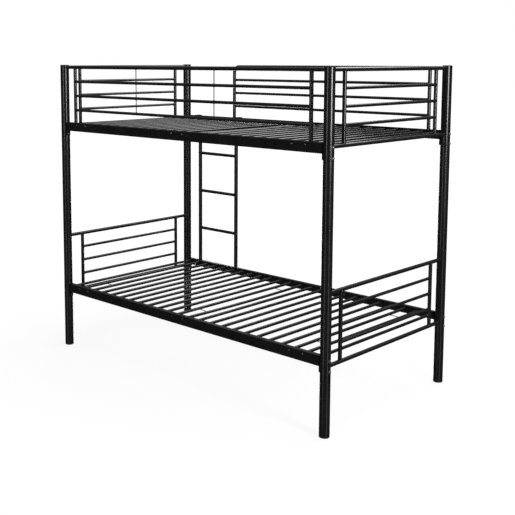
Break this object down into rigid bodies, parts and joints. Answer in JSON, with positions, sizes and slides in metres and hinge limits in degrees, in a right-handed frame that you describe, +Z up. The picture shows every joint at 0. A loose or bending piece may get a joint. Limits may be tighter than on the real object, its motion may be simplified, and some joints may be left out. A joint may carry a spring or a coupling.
{
  "type": "bunk bed",
  "caption": "Black tubular steel bunk bed with slatted decks, round corner posts, end grilles, guard rails round the upper deck and a hook-on ladder at the back.",
  "frame": {"origin": "centre of the bed's plan box at floor level", "axes": "+X along the bed's length, the ladder is near the -X end; +Y from the front to the ladder side; +Z up"},
  "size_m": [1.9856, 1.062, 1.685],
  "materials": {
    "black_powder_coat": "glossy black powder coat over steel tube",
    "black_plastic": "moulded black plastic, satin",
    "black_bolt_steel": "black-coated steel fastener"
  },
  "bodies": {
    "bed_frame": {"foot_back_left": "black_plastic", "foot_back_right": "black_plastic", "foot_front_left": "black_plastic", "foot_front_right": "black_plastic", "guard_rail_back": "black_powder_coat", "guard_rail_front": "black_powder_coat", "lower_bolt_back_left_1": "black_bolt_steel", "lower_bolt_back_left_2": "black_bolt_steel", "lower_bolt_back_right_1": "black_bolt_steel", "lower_bolt_back_right_2": "black_bolt_steel", "lower_bolt_front_left_1": "black_bolt_steel", "lower_bolt_front_left_2": "black_bolt_steel", "lower_bolt_front_right_1": "black_bolt_steel", "lower_bolt_front_right_2": "black_bolt_steel", "lower_end_grille_left": "black_powder_coat", "lower_end_grille_right": "black_powder_coat", "lower_post_back_left": "black_powder_coat", "lower_post_back_right": "black_powder_coat", "lower_post_front_left": "black_powder_coat", "lower_post_front_right": "black_powder_coat", "lower_side_rail_back": "black_powder_coat", "lower_side_rail_front": "black_powder_coat", "lower_slat_pair_left": "black_powder_coat", "lower_slat_pair_middle": "black_powder_coat", "lower_slat_pair_right": "black_powder_coat", "lower_slats": "black_powder_coat", "middle_post_back_left": "black_powder_coat", "middle_post_back_right": "black_powder_coat", "middle_post_front_left": "black_powder_coat", "middle_post_front_right": "black_powder_coat", "post_cap_back_left": "black_plastic", "post_cap_back_right": "black_plastic", "post_cap_front_left": "black_plastic", "post_cap_front_right": "black_plastic", "upper_bolt_back_left_1": "black_bolt_steel", "upper_bolt_back_left_2": "black_bolt_steel", "upper_bolt_back_right_1": "black_bolt_steel", "upper_bolt_back_right_2": "black_bolt_steel", "upper_bolt_front_left_1": "black_bolt_steel", "upper_bolt_front_left_2": "black_bolt_steel", "upper_bolt_front_right_1": "black_bolt_steel", "upper_bolt_front_right_2": "black_bolt_steel", "upper_end_grille_left": "black_powder_coat", "upper_end_grille_right": "black_powder_coat", "upper_post_back_left": "black_powder_coat", "upper_post_back_right": "black_powder_coat", "upper_post_front_left": "black_powder_coat", "upper_post_front_right": "black_powder_coat", "upper_side_rail_back": "black_powder_coat", "upper_side_rail_front": "black_powder_coat", "upper_slat_pair_left": "black_powder_coat", "upper_slat_pair_middle": "black_powder_coat", "upper_slat_pair_right": "black_powder_coat", "upper_slats": "black_powder_coat"},
    "ladder": {"ladder_rail_left": "black_powder_coat", "ladder_rail_right": "black_powder_coat", "ladder_rung_1": "black_powder_coat", "ladder_rung_2": "black_powder_coat", "ladder_rung_3": "black_powder_coat"}
  },
  "joints": [
    {"name": "ladder_lift", "type": "slide", "parent": "bed_frame", "child": "ladder", "axis": [0, 0, 1], "range_m": [0, 0.06]}
  ]
}
